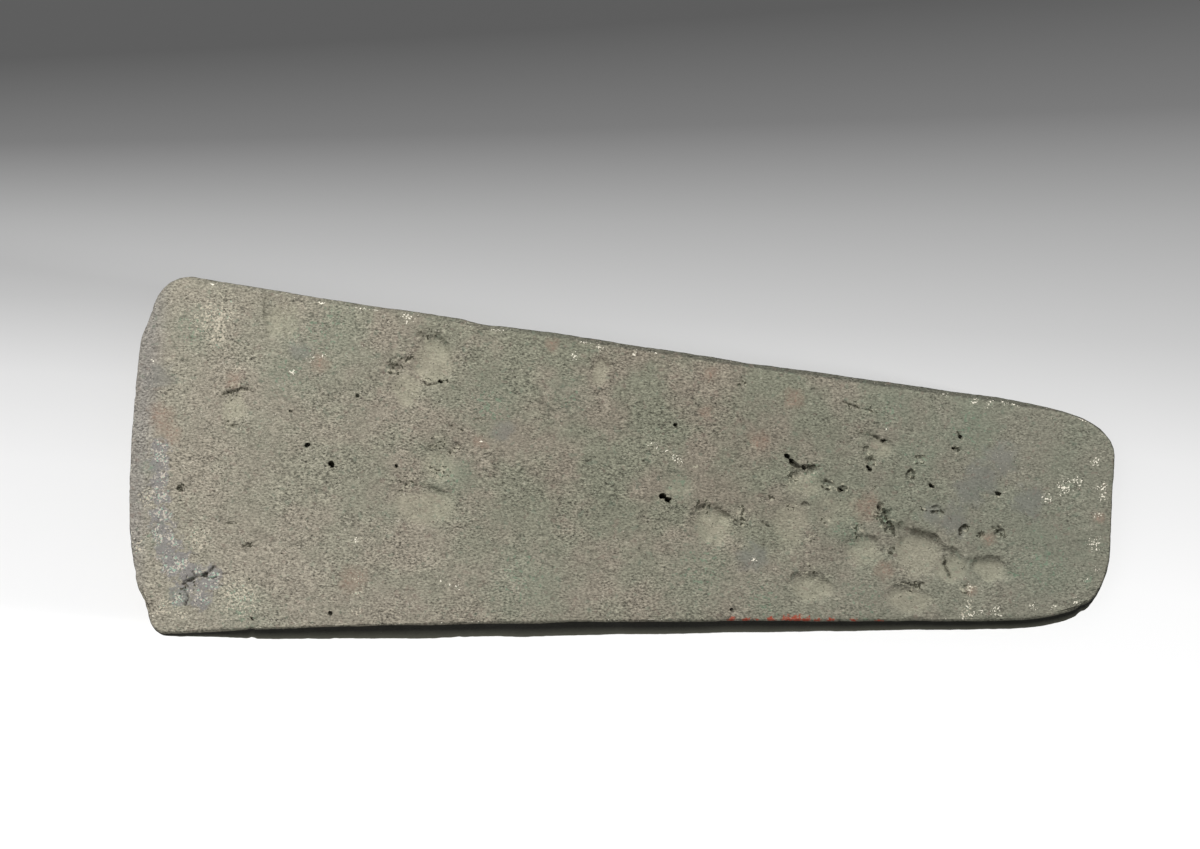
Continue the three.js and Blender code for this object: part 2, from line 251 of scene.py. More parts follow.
# Worn, stained or sparkling places, each as x, y, reach.
worn_band = [
    (-75, 0, 2.2), (-74.9, -2.6, 2.4), (-74.5, -5.4, 2.2), (-74.3, -8.2, 2.2), (-74, -11, 2.6),
    (-73.4, -13.8, 2.8), (-72.4, -16.4, 3), (-70.8, -18.8, 3.4), (-68.4, -20.8, 3.4),
    (-65.2, -21.2, 3), (-69.4, -24, 2.6), (-66, -24.6, 2.2),
]
smooth_patches = [
    (22, -11.5, 3), (61.5, 8.3, 3.6), (56.5, 2.4, 3.2), (54.6, -2.4, 3), (66.4, 1.6, 3.4),
    (58.6, 5.2, 4), (-19.6, 6, 2.2), (-53.4, 17.4, 2.2), (50.8, -1.8, 2.2), (-76, 12, 3),
]
green_patches = [
    (43.3, 14.8, 4), (-9.2, 12.9, 4.6), (-76.6, -3.4, 2), (-74.7, -15.3, 2.4), (76.3, -10.7, 2.2),
    (-70.1, -24.5, 2.6), (-60, -26, 6), (31, 3.5, 3), (64, -10.5, 2.4), (43, -3, 2.6),
    (-72, 20, 5), (-15, -18, 8), (9.3, -0.4, 3.4), (56, 13, 6), (38, -5.8, 4),
    (-50, 20, 8), (-22, 10, 6), (-27, -2, 5), (14, -14, 8), (70, -8, 8),
    (48, 8, 4), (24, -18, 6), (40, -17, 6), (-55, 13, 6),
]
rust_patches = [
    (-75.3, 5.6, 2.6), (-74.3, 3.5, 2.4), (-73.3, 2.3, 2.2), (-64, 11.8, 1.8), (-23.4, 4.2, 1.3),
    (-22.6, 3.6, 1), (13.3, 18.4, 1.7), (13.1, 12, 1.4), (-12.7, 21.1, 1.6), (60.2, -4.9, 1.6),
    (57.8, -13.8, 1.4), (77.9, -0.2, 1.4), (27, 15.5, 2.4), (43.5, -11.5, 2.2), (22, 8, 2.4),
    (-50, 15.5, 2), (-42, -20, 3), (40, -1.5, 3),
]
cream_patches = [
    (-67, 18.6, 3), (-69.1, -27.2, 2.2), (-77, -16.5, 2), (-41.3, -19.8, 1.2),
    (-41.1, -22.2, 1.6), (-40.9, -24.8, 1.8), (57.5, -13.4, 1.5), (57.4, -15.4, 1.3),
    (57.2, -17.4, 1.9), (-63.2, 13.6, 1.8), (-60, -24, 6), (-68, 22, 6),
    (-72, -26, 3), (-76.4, -8.5, 2.6), (-67.4, -14.6, 3.4),
]
sparkle_patches = [
    (72, 4.5, 2.2), (74, 5.6, 1.7), (78.2, 4.7, 1.6), (69.2, 2.3, 1.4), (77.4, -4.7, 1.9),
    (78.3, 3.2, 1.2), (56.5, 17.7, 1.3), (59, 17.5, 1.2), (-36.5, 24, 1.6), (-50.8, 25.6, 0.9),
    (-43.3, 19.1, 0.9), (-41.9, -13.5, 1), (-41.7, -15.3, 0.8), (-4.9, 21.4, 1.1), (-9, 19.6, 1),
    (42.4, 11.5, 0.7), (-77.4, 14.6, 0.7), (-54.6, 13.7, 1), (-51.6, 16, 1.1), (-49.8, 16.4, 1),
    (0.8, 20.8, 0.9), (22.2, -11.8, 0.9), (76.8, 9.2, 1.4), (4.4, 6.1, 0.9), (5.4, 5.6, 0.9),
    (6.8, 4.8, 0.7), (8.2, 4, 1), (9.1, 3.5, 1.1), (-27.8, -19.3, 0.6), (-26.3, -19.7, 0.6),
    (-24.9, -20.1, 0.9), (57.5, -13.2, 0.9), (57.3, -16.2, 1.2), (56.6, -18.2, 1), (76.3, -10.7, 0.8),
    (-23, 4, 0.6), (10.2, 8.9, 0.6), (62, -16.8, 1.6), (68, -15.5, 1.2), (77.6, 0.4, 1.1),
    (74.8, -14.2, 1), (71.2, -15.2, 0.8), (78.2, -8.9, 0.9), (59.6, -17.2, 1), (57.9, -17.6, 1.2),
]

# Worn flecks of bare red copper oxide on the lower rim, each as x, y, reach.
red_flecks = [
    (19.3, -21.9, 0.8), (21.6, -21.8, 0.8), (23.4, -21.7, 0.6), (25.6, -21.4, 0.9), (28.4, -21.2, 1.2),
    (29.8, -21.1, 1.2), (31.3, -21, 1), (33.2, -20.9, 0.7), (35.4, -20.7, 0.9), (39, -20.4, 0.7),
    (43.2, -20.2, 0.8),
]

# How finely the surface is divided, and how much finer it is round pits, dents, cracks and ledges.
steps_along = 360
steps_across = 124
rim_steps = 5
side_steps = 2
underside_inset = 0.7
halvings = 14
detail_cuts = 2
detail_margin = 0.45
ledge_margin = 0.8

# How far the borders of the openings waver, and the size of each waver. Both ends of a ledge
# run out over a share of its length.
slow_waver = 0.7
slow_size = 2.4
fine_waver = 0.2
fine_size = 0.6
ledge_end = 0.2
rim_chip_depth = 0.35
edge_chip_depth = 0.3

# Broad shades of the crust, from 0 to 255, and the painted light and shade laid on it.
crust_green = (99, 99, 86)
crust_brown = (106, 100, 89)
crust_moss = (86, 89, 76)
crust_butt = (99, 100, 89)
crust_pale = (123, 118, 106)
worn_skin = (101, 99, 99)
worn_grey = (89, 90, 88)
# Floors of the hollows: a paler, smoother crust, and also a painted highlight that lifts them.
smooth_lit_hollow_grey = (127, 124, 108)
# Painted shade on the walls of the hollows, ledges and dents that face away from the key light.
hollow_wall_shade = (66, 65, 53)
# Painted shade on the upper rim, stronger towards the butt.
upper_rim_shade = (60, 60, 53)
# Painted shade on the lower rim, which faces away from the key light.
lower_rim_shade = (86, 85, 75)
# Painted shade on the narrow sides, near black.
side_shade_black = (10, 11, 8)
# Painted bounce light from the floor at the foot of the sides.
side_foot_bounce_light = (84, 84, 74)

# Shades of its grains, stains and flecks, and of the painted shade and glints among them.
brown_grain = (104, 90, 82)
green_grain = (86, 97, 84)
dark_grain = (46, 43, 38)
pale_grain = (157, 151, 139)
green_stain = (96, 107, 92)
green_fleck = (88, 112, 92)
rust_stain = (118, 99, 87)
rust_fleck = (122, 97, 84)
cream_fleck = (169, 161, 144)
worn_fleck = (166, 158, 146)
verdigris_fleck = (124, 152, 134)
pale_crumb = (152, 148, 130)
dark_crumb = (34, 34, 24)
# Flecks of painted shade on those walls.
hollow_wall_shade_fleck = (36, 36, 28)
# Pale grains with a painted glint, near white.
painted_glint_white = (214, 208, 192)
copper_red = (134, 50, 32)
# Painted shade in pits and cracks: an olive border and a near-black middle.
pit_border_shade = (44, 42, 30)
pit_shade_black = (17, 16, 11)

# The finest grain: its size and depth in millimetres, and the contrast of its tone.
grain_size = 0.27
grain_depth = 0.07
grain_contrast = 1.15
crust_roughness = 0.84
crust_specular = 0.06

# A painted falloff of light on the paper: its shades, each with how far behind the axe's middle it is,
# in millimetres. They lie closer together at the left, on both sides of the pivot.
painted_falloff_shades = [(-32, 0.9), (-4, 0.83), (14, 0.71), (30, 0.5), (46, 0.35), (62, 0.165), (80, 0.09)]
shade_spread = 2.3
shade_pivot = 47

# The camera, and where the photo shows the middle of the axe, in its pixels.
camera_tilt = math.radians(13)
camera_roll = math.radians(4.04)
camera_distance = 900
photo_width = 1200
photo_height = 849
photo_mm_per_pixel = 160 / 985
axe_middle_in_photo = (621, 483)
axe_middle_height = 4.8


def lerp(a, b, share):
    return a + (b - a) * share


def smoothstep(share):
    share = np.clip(share, 0, 1)
    return share * share * (3 - 2 * share)


def mound(distance):
    """A smooth mound of height 1 that ends at a distance of 1."""
    return np.maximum(0, 1 - np.square(distance)) ** 2


def normalized(vectors):
    return vectors / np.linalg.norm(vectors, axis=-1, keepdims=True)


# The plan of the axe

def curve_point(curve, share):
    """Places on a curve with one control point, at the given shares."""
    start, control, end = (np.asarray(point, float) for point in curve)
    t = np.asarray(share, float)[..., None]
    return (1 - t) ** 2 * start + 2 * t * (1 - t) * control + t ** 2 * end


def side_curve(start, end, hollow, share):
    """A side of the plan, hollowed by the given depth, as a start, a control point and an end."""
    start, end = np.asarray(start, float), np.asarray(end, float)
    inward = normalized(np.array([start[1] - end[1], end[0] - start[0]]))
    return start, lerp(start, end, share) + 2 * hollow * inward, end


def unworn_stretch(curve, start_wear, end_wear):
    """What is left of a side between the worn corners at its ends."""
    start, control, end = curve
    length = np.linalg.norm(end - start)
    a, b = start_wear / length, 1 - end_wear / length
    middle = (1 - a) * (1 - b) * start + (a * (1 - b) + b * (1 - a)) * control + a * b * end
    return curve_point(curve, a), middle, curve_point(curve, b)


def half_corner(start, corner, end):
    """The first half of the curve that a worn corner makes."""
    return start, (start + corner) / 2, (start + end + 2 * corner) / 4


def plan_boundaries():
    """The four boundaries of the plan, anticlockwise from the blade's lower corner, each a chain
    of curves from the middle of one worn corner to the middle of the next."""
    edge_x, butt_x = -axe_length / 2, axe_length / 2
    corners = [np.array(corner) for corner in (
        (edge_x + lower_corner_sweep, blade_shift - blade_width / 2),
        (butt_x, butt_shift - butt_width / 2),
        (butt_x, butt_shift + butt_width / 2),
        (edge_x + upper_corner_sweep, blade_shift + blade_width / 2),
    )]
    wear = [blade_lower_wear, butt_lower_wear, butt_upper_wear, blade_upper_wear]
    hollow_by = [lower_side_hollow, 0, upper_side_hollow, -edge_bow]
    hollow_at = [hollow_share, 0.5, 1 - hollow_share, 0.5]
    stretches = []
    for i in range(4):
        side = side_curve(corners[i], corners[(i + 1) % 4], hollow_by[i], hollow_at[i])
        stretches.append(unworn_stretch(side, wear[i][1], wear[(i + 1) % 4][0]))
    chains = []
    for i in range(4):
        before, own, after = stretches[i - 1], stretches[i], stretches[(i + 1) % 4]
        first = half_corner(own[0], corners[i], before[2])[::-1]
        last = half_corner(own[2], corners[(i + 1) % 4], after[0])
        chains.append([first, own, last])
    return chains


def spaced_points(chain, count):
    """The starts of count equal steps along a chain of curves."""
    fine = np.vstack([curve_point(curve, np.linspace(0, 1, 200)[:-1]) for curve in chain])
    fine = np.vstack([fine, chain[-1][2]])
    travelled = np.r_[0, np.cumsum(np.linalg.norm(np.diff(fine, axis=0), axis=1))]
    stations = np.linspace(0, travelled[-1], count + 1)[:-1]
    return np.c_[np.interp(stations, travelled, fine[:, 0]), np.interp(stations, travelled, fine[:, 1])]


def plan_outline():
    """The plan's closed row of places, with each one's share along the axe, its place across
    from -1 to 1, and the direction inwards."""
    places, along, across = [], [], []
    for i, chain in enumerate(plan_boundaries()):
        steps = steps_across if i % 2 else steps_along
        share = np.arange(steps) / steps
        places.append(spaced_points(chain, steps))
        along.append([share, share * 0 + 1, 1 - share, share * 0][i])
        across.append([share * 0 - 1, 2 * share - 1, share * 0 + 1, 1 - 2 * share][i])
    places, along, across = np.vstack(places), np.concatenate(along), np.concatenate(across)
    chord = np.roll(places, -1, 0) - np.roll(places, 1, 0)
    inward = normalized(np.c_[-chord[:, 1], chord[:, 0]])
    bite = sum(depth * mound(np.hypot(places[:, 0] - x, places[:, 1] - y) / reach)
               for x, y, reach, depth in nicks)
    return places + inward * bite[:, None], along, across, inward


# Thickness and heights

def thickness_at(along):
    distance = np.asarray(along, float) * axe_length
    bevel = lerp(edge_thickness, bevel_thickness, distance / bevel_length)
    swell = np.clip((distance - bevel_length) / (belly_distance - bevel_length), 0, 1)
    cheek = lerp(bevel_thickness, belly_thickness, np.sin(swell * math.pi / 2))
    taper = smoothstep((distance - belly_distance) / (axe_length - belly_distance))
    return np.where(distance < bevel_length, bevel, lerp(cheek, butt_thickness, taper))


def share_along(places):
    return (places[:, 0] + axe_length / 2) / axe_length


def middle_height(along):
    flat_start = belly_distance / axe_length
    rise = edge_rise * np.clip(1 - along / flat_start, 0, 1) ** 2
    return thickness_at(np.maximum(along, flat_start)) / 2 + rise


def crown_at(along):
    return crown_drop * thickness_at(along) / belly_thickness


def upper_height(along, across):
    return middle_height(along) + thickness_at(along) / 2 - crown_at(along) * across ** 2


def lower_height(along, outward):
    return middle_height(along) - thickness_at(along) / 2 + crown_at(along) * outward ** 2


# The smooth form of the axe, before corrosion

def four_sides(ring, n, m):
    """The lower side, butt, upper side and edge of a ring that has n steps along the axe and m
    across it. Each runs towards the butt or the upper side."""
    closed = np.concatenate([ring, ring[:1]])
    upper, edge = closed[n + m:2 * n + m + 1][::-1], closed[2 * n + m:][::-1]
    return closed[:n + 1], closed[n:n + m + 1], upper, edge


def blended_grid(ring, n, m):
    """Fills a ring of points with a grid, each point blended from the four sides."""
    lower, butt, upper, edge = four_sides(ring, n, m)
    u = np.linspace(0, 1, n + 1)[:, None, None]
    v = np.linspace(0, 1, m + 1)[None, :, None]
    corners = lerp(lerp(lower[0], lower[-1], u), lerp(upper[0], upper[-1], u), v)
    return lerp(edge[None], butt[None], u) + lerp(lower[:, None], upper[:, None], v) - corners


class Skin:
    """Collects shared vertices and the faces between them."""

    def __init__(self):
        self.points, self.faces, self.count = [], [], 0

    def add(self, points):
        points = np.asarray(points, float).reshape(-1, 3)
        numbers = np.arange(self.count, self.count + len(points))
        self.points.append(points)
        self.count += len(points)
        return numbers

    def band(self, outer, inner):
        after = np.roll(np.arange(len(outer)), -1)
        self.faces += np.c_[outer, inner, inner[after], outer[after]].tolist()

    def halving_band(self, outer, inner):
        """A band whose inner ring has half as many points."""
        a, b, c = outer[::2], outer[1::2], np.roll(outer[::2], -1)
        after = np.roll(inner, -1)
        self.faces += np.c_[a, inner, b].tolist()
        self.faces += np.c_[b, inner, after].tolist()
        self.faces += np.c_[b, after, c].tolist()

    def grid(self, numbers, upwards):
        a, b = numbers[:-1, :-1], numbers[1:, :-1]
        c, d = numbers[1:, 1:], numbers[:-1, 1:]
        quads = (a, b, c, d) if upwards else (a, d, c, b)
        self.faces += np.stack(quads, -1).reshape(-1, 4).tolist()


def face_grid(skin, border, ring, n, m, height_at, upwards):
    """A broad face whose border is a ring that is there already, with its vertex numbers."""
    grid = blended_grid(ring[:, :2], n, m)
    numbers = np.empty(grid.shape[:2], int)
    numbers[:, 0], numbers[-1], numbers[:, -1], numbers[0] = four_sides(border, n, m)
    inner = grid[1:-1, 1:-1]
    along = np.linspace(0, 1, n + 1)[1:-1, None]
    across = np.linspace(-1, 1, m + 1)[None, 1:-1]
    z = height_at(along, across, inner)
    numbers[1:-1, 1:-1] = skin.add(np.dstack([inner, z])).reshape(inner.shape[:2])
    skin.grid(numbers, upwards)


def outside_flat(plan, outline):
    """How far places of the underside are outside its flat: 0 on the flat, 1 at the outline.
    The flat is the outline made smaller, and all between runs straight from one to the other."""
    lower, butt, upper, edge = four_sides(outline, steps_along, steps_across)
    x, y = plan[..., 0], plan[..., 1]
    flat_x = -axe_length / 2 + belly_distance + flat_length / 2
    near, far = np.zeros(x.shape), np.ones(x.shape)
    for step in range(halvings):
        share = (near + far) / 2 if step else far
        rim_x = (x - share * flat_x) / lerp(1, flat_length / axe_length, share)
        rim_y = y / lerp(1, flat_width_share, share)
        inside = (rim_y > np.interp(rim_x, *lower.T)) & (rim_y < np.interp(rim_x, *upper.T))
        inside &= rim_x > np.interp(rim_y, *edge.T[::-1])
        inside &= rim_x < np.interp(rim_y, *butt.T[::-1])
        near, far = np.where(inside, share, near), np.where(inside, far, share)
    return 1 - near


def rim_rings(places, along, across, inward):
    """Rings from the border of the upper face round the rim to the border of the underside."""
    side_radius = lerp(lower_rim_radius, upper_rim_radius, smoothstep((across + 1) / 2))
    side_radius = lerp(side_radius, butt_rim_radius, smoothstep((along - butt_start) / (1 - butt_start)))
    radius = np.minimum(side_radius, rim_share_of_thickness * thickness_at(along))
    flare = lower_side_lean * smoothstep((inward[:, 1] - 0.6) / 0.4) * smoothstep(along / 0.2)

    def rim_ring(lean, upper):
        inset = radius * (1 - math.sin(lean)) - (0 if upper else flare)
        plan = places + inward * inset[:, None]
        drop = radius * (1 - math.cos(lean))
        z = upper_height(along, across) - drop if upper else lower_height(along, 1) + drop
        return np.c_[plan, z]

    leans = np.linspace(0, math.pi / 2, rim_steps + 1)
    upper_rings = [rim_ring(lean, True) for lean in leans]
    lower_rings = [rim_ring(lean, False) for lean in leans[::-1]]
    side_shares = np.linspace(0, 1, side_steps + 2)[1:-1]
    side_rings = [lerp(upper_rings[-1], lower_rings[0], share) for share in side_shares]
    return upper_rings + side_rings + lower_rings


def smooth_axe():
    """The axe's smooth form as points and faces, in millimetres."""
    skin = Skin()
    places, along, across, inward = plan_outline()
    rings = rim_rings(places, along, across, inward)
    numbers = [skin.add(ring) for ring in rings]
    for outer, inner in zip(numbers, numbers[1:]):
        skin.band(outer, inner)
    face_grid(skin, numbers[0], rings[0], steps_along, steps_across,
              lambda u, v, plan: upper_height(u, v), upwards=True)

    # The underside has half as many points.
    outline = rings[-1][:, :2]
    half_ring = (outline + inward * underside_inset)[::2]
    outside = outside_flat(half_ring, outline)
    ring = np.c_[half_ring, lower_height(along[::2], outside)]
    border = skin.add(ring)
    skin.halving_band(numbers[-1], border)
    face_grid(skin, border, ring, steps_along // 2, steps_across // 2,
              lambda u, v, plan: lower_height(u, outside_flat(plan, outline)), upwards=False)
    return np.vstack(skin.points), skin.faces


# Detail: a finer skin round pits, dents, cracks and ledges

def segment_distance(x, y, start, end):
    """How far places are from the straight stretch between two places."""
    dx, dy = end[0] - start[0], end[1] - start[1]
    share = np.clip(((x - start[0]) * dx + (y - start[1]) * dy) / (dx * dx + dy * dy), 0, 1)
    return np.hypot(x - start[0] - share * dx, y - start[1] - share * dy)


def route_distance(x, y, route):
    stretches = [segment_distance(x, y, a, b) for a, b in zip(route, route[1:])]
    return np.minimum.reduce(stretches)


def below_ledge(x, y, route):
    """How far places lie to the right of a route, negative to its left, and how near they are
    to its middle: 1 along most of the route, 0 at its ends and beyond them."""
    lengths = [math.dist(a, b) for a, b in zip(route, route[1:])]
    nearest, travelled = np.full(x.shape, np.inf), 0
    signed, share = np.zeros(x.shape), np.zeros(x.shape)
    for start, end, length in zip(route, route[1:], lengths):
        away = segment_distance(x, y, start, end)
        way_x, way_y = (end[0] - start[0]) / length, (end[1] - start[1]) / length
        left = (y - start[1]) * way_x - (x - start[0]) * way_y
        along = (x - start[0]) * way_x + (y - start[1]) * way_y
        closer = away < nearest
        signed = np.where(closer, -np.sign(left) * away, signed)
        share = np.where(closer, (travelled + along) / sum(lengths), share)
        nearest = np.minimum(nearest, away)
        travelled += length
    return signed, smoothstep(share / ledge_end) * smoothstep((1 - share) / ledge_end)


def needs_detail(x, y):
    near = np.zeros(x.shape, bool)
    for spot_x, spot_y, half_length, *others in pits + dents:
        near |= np.hypot(x - spot_x, y - spot_y) < half_length + detail_margin
    for width, depth, route in cracks:
        near |= route_distance(x, y, route) < width + detail_margin
    for drop, reach, route in ledges:
        near |= route_distance(x, y, route) < ledge_margin
    return near


def is_upper(places):
    return places[:, 2] > 0.6 * upper_height(share_along(places), 0)


def refine(mesh):
    """Divides the faces of the upper side that lie near a pit, dent, crack or ledge."""
    work = bmesh.new()
    work.from_mesh(mesh)
    centres = np.array([face.calc_center_median() for face in work.faces]) / MM
    chosen = needs_detail(centres[:, 0], centres[:, 1]) & is_upper(centres)
    edges = {edge for face, near in zip(work.faces, chosen) if near for edge in face.edges}
    bmesh.ops.subdivide_edges(work, edges=list(edges), cuts=detail_cuts, use_grid_fill=True)
    many_sided = [face for face in work.faces if len(face.verts) > 4]
    bmesh.ops.triangulate(work, faces=many_sided)
    work.to_mesh(mesh)
    work.free()


# Corrosion relief

def field(places, size, seed):
    """Smooth noise from about -1 to 1, with features of the given size in millimetres."""
    offset = Vector((seed * 17.3, seed * 5.1, seed * 9.7))
    return np.array([noise.noise(Vector(place) / size + offset) for place in places.tolist()])


def pits_and_satellites():
    """Every pit, with the few small ones that corrosion has opened beside it."""
    dice = random.Random(7)
    every = list(pits)
    for x, y, half_length, half_width, turn, depth in pits:
        size = (half_length + half_width) / 2
        for satellite in range(dice.randint(0, 2)):
            way, away = dice.uniform(0, 2 * math.pi), size * dice.uniform(0.9, 1.5)
            reach = size * dice.uniform(0.25, 0.5)
            every.append((x + away * math.cos(way), y + 0.6 * away * math.sin(way),
                          reach, 0.7 * reach, 0, 0.5 * depth))
    return every


class Relief:
    """How deep each place of the upper face is eaten in, and the masks that go with it. The
    borders of hollows and ledges waver slowly, and those of all openings finely."""

    def __init__(self, points):
        count = len(points)
        self.x, self.y = points[:, 0], points[:, 1]
        self.slow_x, self.slow_y = (slow_waver * field(points, slow_size, seed) for seed in (1, 2))
        self.fine_x, self.fine_y = (fine_waver * field(points, fine_size, seed) for seed in (3, 4))
        self.unbroken = np.clip(0.8 + 1.3 * field(points, 1.7, 8), 0.15, 1)
        self.gape = np.clip(0.35 + 0.9 * field(points, 0.8, 9), 0, 0.6)
        self.depth, self.floor, self.shaded_wall = np.zeros(count), np.zeros(count), np.zeros(count)
        self.hole_away, self.crack_away = np.ones(count), np.ones(count)

    def add_hollow(self, x, y, half_length, half_width, sunk):
        away = np.hypot((self.x + self.slow_x - x) / half_length,
                        (self.y + self.slow_y - y) / half_width)
        bowl = smoothstep(1.15 * (1 - away ** 1.6))
        self.depth += sunk * bowl
        self.floor = np.maximum(self.floor, min(1, 0.35 + 1.5 * sunk) * bowl)

    def add_ledge(self, drop, reach, route):
        below, middle = below_ledge(self.x + 0.6 * self.slow_x + self.fine_x,
                                    self.y + 0.6 * self.slow_y + self.fine_y, route)
        foot = smoothstep((below - 0.6) / (reach - 0.6))
        step = smoothstep((below + 0.2) / (0.55 + 1.4 * drop)) * (1 - foot)
        self.depth += drop * middle * step * (0.4 + 0.6 * self.unbroken)
        # The ledge's wall, which gets painted shade.
        face = np.clip(1 - np.abs(below - 0.2) / (0.4 + 0.7 * drop), 0, 1)
        self.shaded_wall = np.maximum(self.shaded_wall, face * middle * self.unbroken * min(1, 0.3 + 1.2 * drop))

    def add_dent(self, x, y, half_length, half_width, sunk):
        away = np.hypot((self.x + 2 * self.fine_x - x) / half_length,
                        (self.y + 2 * self.fine_y - y) / half_width)
        bowl = smoothstep(1.5 * (1 - away))
        self.depth += sunk * bowl
        # Painted shade on the dent's upper wall, which faces away from the key light.
        shaded = bowl * (1 - bowl) * 3 * smoothstep(0.5 + (self.y - y) / half_width)
        self.shaded_wall = np.maximum(self.shaded_wall, np.clip(shaded, 0, 1))

    def add_pit(self, x, y, half_length, half_width, turn, sunk):
        dx, dy = self.x + self.fine_x - x, self.y + self.fine_y - y
        cosine, sine = math.cos(math.radians(turn)), math.sin(math.radians(turn))
        away = np.hypot((dx * cosine + dy * sine) / half_length, (dy * cosine - dx * sine) / half_width)
        self.depth += sunk * np.clip(1.3 * (1 - away ** 2), 0, 1)
        self.hole_away = np.minimum(self.hole_away, (away - 1) * (half_length + half_width) / 2)

    def add_crack(self, width, sunk, route):
        away = route_distance(self.x + self.fine_x, self.y + self.fine_y, route)
        half = width * self.gape
        self.depth += sunk * self.gape * np.clip(1.6 - away / (half + 0.1), 0, 1)
        self.crack_away = np.minimum(self.crack_away, away - half)


def eaten_face(points):
    relief = Relief(points)
    for add, features in (
        (relief.add_hollow, hollows), (relief.add_ledge, ledges), (relief.add_dent, dents),
        (relief.add_pit, pits_and_satellites()), (relief.add_crack, cracks),
    ):
        for feature in features:
            add(*feature)
    return relief


def painted(points, patches):
    """A mask that is 1 in the middle of each patch and fades out past its reach."""
    mask = np.zeros(len(points))
    for x, y, reach in patches:
        mask = np.maximum(mask, mound(np.hypot(points[:, 0] - x, points[:, 1] - y) / (1.3 * reach)))
    return mask


def lean_band(normals, middle, reach):
    """1 where the skin leans as the rim does at the middle of the band, 0 beyond its reach."""
    return np.clip(1.3 * (1 - np.abs(np.abs(normals[:, 2]) - middle) / reach), 0, 1)


def mesh_arrays(mesh):
    points = np.empty(len(mesh.vertices) * 3)
    normals = np.empty(len(mesh.vertices) * 3)
    mesh.vertices.foreach_get("co", points)
    mesh.vertices.foreach_get("normal", normals)
    return points.reshape(-1, 3) / MM, normals.reshape(-1, 3)


def finish_masks(points, normals, upper, relief):
    """The masks that the crust and the finish read, by name."""
    share = share_along(points)
    above_foot = points[:, 2] - lower_height(share, 1)
    masks = {
        "hole_away": np.where(upper > 0.3, relief.hole_away, 1),
        "crack_away": np.where(upper > 0.3, relief.crack_away, 1),
        "hollow_floor": relief.floor * upper,
        # Walls of hollows, ledges and dents that get painted shade.
        "shaded_hollow_wall": relief.shaded_wall * upper,
        # The upper rim, which gets painted shade.
        "shaded_upper_rim": smoothstep(3 * normals[:, 1]) * smoothstep((0.985 - normals[:, 2]) / 0.06),
        "rim_edge": lean_band(normals, 0.94, 0.055),
        # The lower rim, which gets painted shade.
        "shaded_lower_rim": smoothstep(-2 * normals[:, 1]) * lean_band(normals, 0.75, 0.24) * upper,
        # The foot of the sides, lit by painted bounce light, and the narrow sides, which get painted
        # shade and full roughness.
        "bounce_lit_side_foot": 1 - smoothstep(above_foot / (0.6 * thickness_at(share))),
        "side": 1 - smoothstep((np.abs(normals[:, 2]) - 0.2) / 0.3),
    }
    for name, patches in (
        ("worn_band", worn_band), ("smooth", smooth_patches), ("green", green_patches),
        ("rust", rust_patches), ("crumbled", crumbled_spots), ("cream", cream_patches),
        ("sparkle", sparkle_patches), ("copper_red", red_flecks),
    ):
        masks[name] = painted(points, patches) * upper ** 0.2
    return masks


def corrode(mesh):
    """Sinks the relief into the mesh, chips its rim and edge, and stores the masks on it."""
    points, normals = mesh_arrays(mesh)
    upper = smoothstep((normals[:, 2] - 0.3) / 0.4)
    relief = eaten_face(points)
    chips = np.clip(field(points, 2.2, 5) - 0.25, 0, 1) + np.clip(field(points, 0.9, 6) - 0.3, 0, 1)
    share = share_along(points)
    thin = np.clip(thickness_at(share) / 3, 0.3, 1)
    rim_chips = rim_chip_depth * chips * lean_band(normals, 0.7, 0.28) * thin
    edge_chips = edge_chip_depth * chips * smoothstep((0.03 - share) / 0.02)
    sunk = relief.depth * upper + rim_chips + edge_chips
    moved = points - normals * sunk[:, None]
    mesh.vertices.foreach_set("co", (moved * MM).ravel())
    for name, values in finish_masks(points, normals, upper, relief).items():
        attribute = mesh.attributes.new(name, "FLOAT", "POINT")
        attribute.data.foreach_set("value", np.asarray(values, np.float32))
    mesh.update()


# Node helpers

def join(value, socket):
    """Links a value to a socket, or sets it there where it is a plain one."""
    if isinstance(value, bpy.types.NodeSocket):
        value.id_data.links.new(value, socket)
    else:
        socket.default_value = value


def node(tree, kind, inputs=None, **settings):
    """A node with its settings, and values or links for its inputs by name or number."""
    made = tree.nodes.new(kind)
    for key, value in settings.items():
        setattr(made, key, value)
    for key, value in (inputs or {}).items():
        join(value, made.inputs[key])
    return made


def tree_of(*values):
    """The node tree of the first value that is a link."""
    return next(value.id_data for value in values if isinstance(value, bpy.types.NodeSocket))


def sum_of(operation, a, b, clamp=False):
    made = node(tree_of(a, b), "ShaderNodeMath", {0: a, 1: b}, operation=operation, use_clamp=clamp)
    return made.outputs[0]


def plus(a, b):
    return sum_of("ADD", a, b)


def minus(a, b):
    return sum_of("SUBTRACT", a, b)


def times(a, b, clamp=False):
    return sum_of("MULTIPLY", a, b, clamp)


def over(a, b):
    return sum_of("DIVIDE", a, b)


def larger(a, b):
    return sum_of("MAXIMUM", a, b)


def mix_colour(factor, a, b, blend="MIX"):
    made = node(tree_of(factor, a), "ShaderNodeMix", {0: factor, 6: a, 7: b},
                data_type="RGBA", blend_type=blend, clamp_factor=True)
    return made.outputs[2]


def ramped(value, low, high, to_low=0.0, to_high=1.0, smooth=True):
    """From to_low where the value is low to to_high where it is high, and level beyond both."""
    kind = "SMOOTHSTEP" if smooth else "LINEAR"
    inputs = {"Value": value, "From Min": low, "From Max": high, "To Min": to_low, "To Max": to_high}
    return node(value.id_data, "ShaderNodeMapRange", inputs, interpolation_type=kind).outputs[0]


def noise_cloud(place, scale, detail, roughness):
    """Noise from 0 to 1, mostly near a half."""
    inputs = {"Vector": place, "Scale": scale, "Detail": detail, "Roughness": roughness}
    return node(place.id_data, "ShaderNodeTexNoise", inputs).outputs[0]


